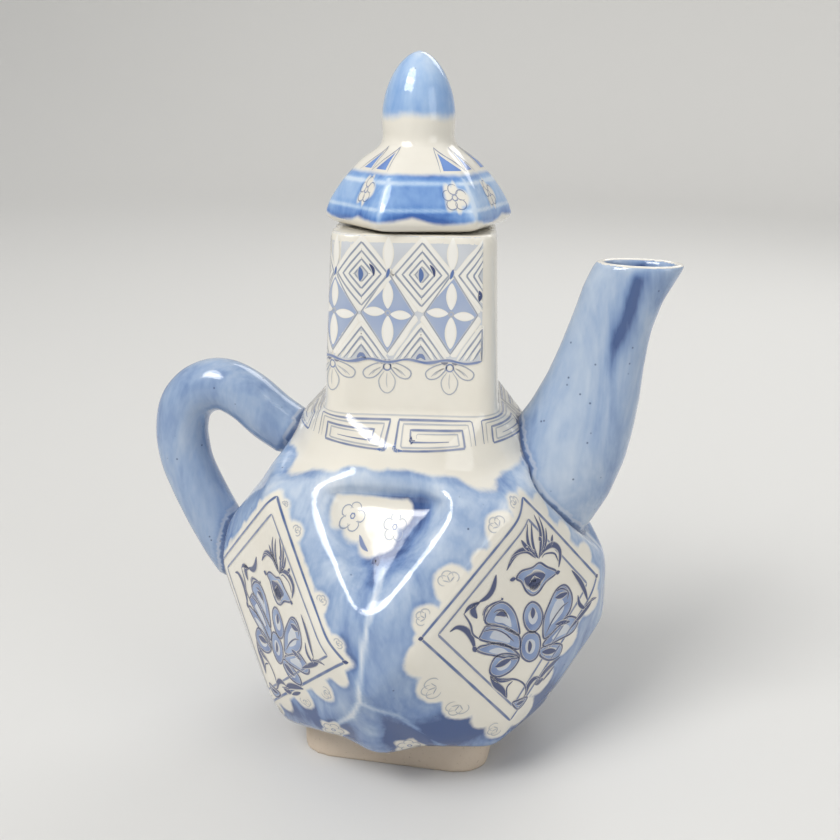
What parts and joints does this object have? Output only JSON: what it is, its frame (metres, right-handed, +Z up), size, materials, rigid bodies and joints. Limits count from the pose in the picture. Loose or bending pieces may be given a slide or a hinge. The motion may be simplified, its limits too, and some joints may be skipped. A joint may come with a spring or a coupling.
{
  "type": "teapot",
  "caption": "Tall lidded porcelain teapot with a square neck, a body of large diamond panels, a curved spout, a loop handle and a six-sided lid that lifts off.",
  "frame": {"origin": "on the foot's resting plane, under the middle of the pot's length; the pot's upright axis is 3.39 mm nearer the spout", "axes": "+Z up, +X towards the spout, -X towards the handle, -Y the front"},
  "size_m": [0.1838, 0.1398, 0.2401],
  "materials": {
    "blue_glaze": "glossy clear glaze over a pale blue brushed wash",
    "white_glaze": "glossy clear glaze over creamy white porcelain with blue brushwork",
    "bare_porcelain": "matte unglazed porcelain, slightly tan"
  },
  "bodies": {
    "pot": {"pot_body": "blue_glaze", "neck": "white_glaze", "foot_ring": "bare_porcelain", "spout": "blue_glaze", "handle": "blue_glaze"},
    "lid": {"lid_cap": "white_glaze", "lid_collar": "bare_porcelain", "finial": "blue_glaze"}
  },
  "joints": [
    {"name": "lid_lift", "type": "slide", "parent": "pot", "child": "lid", "axis": [0, 0, 1], "range_m": [0, 0.07]}
  ]
}
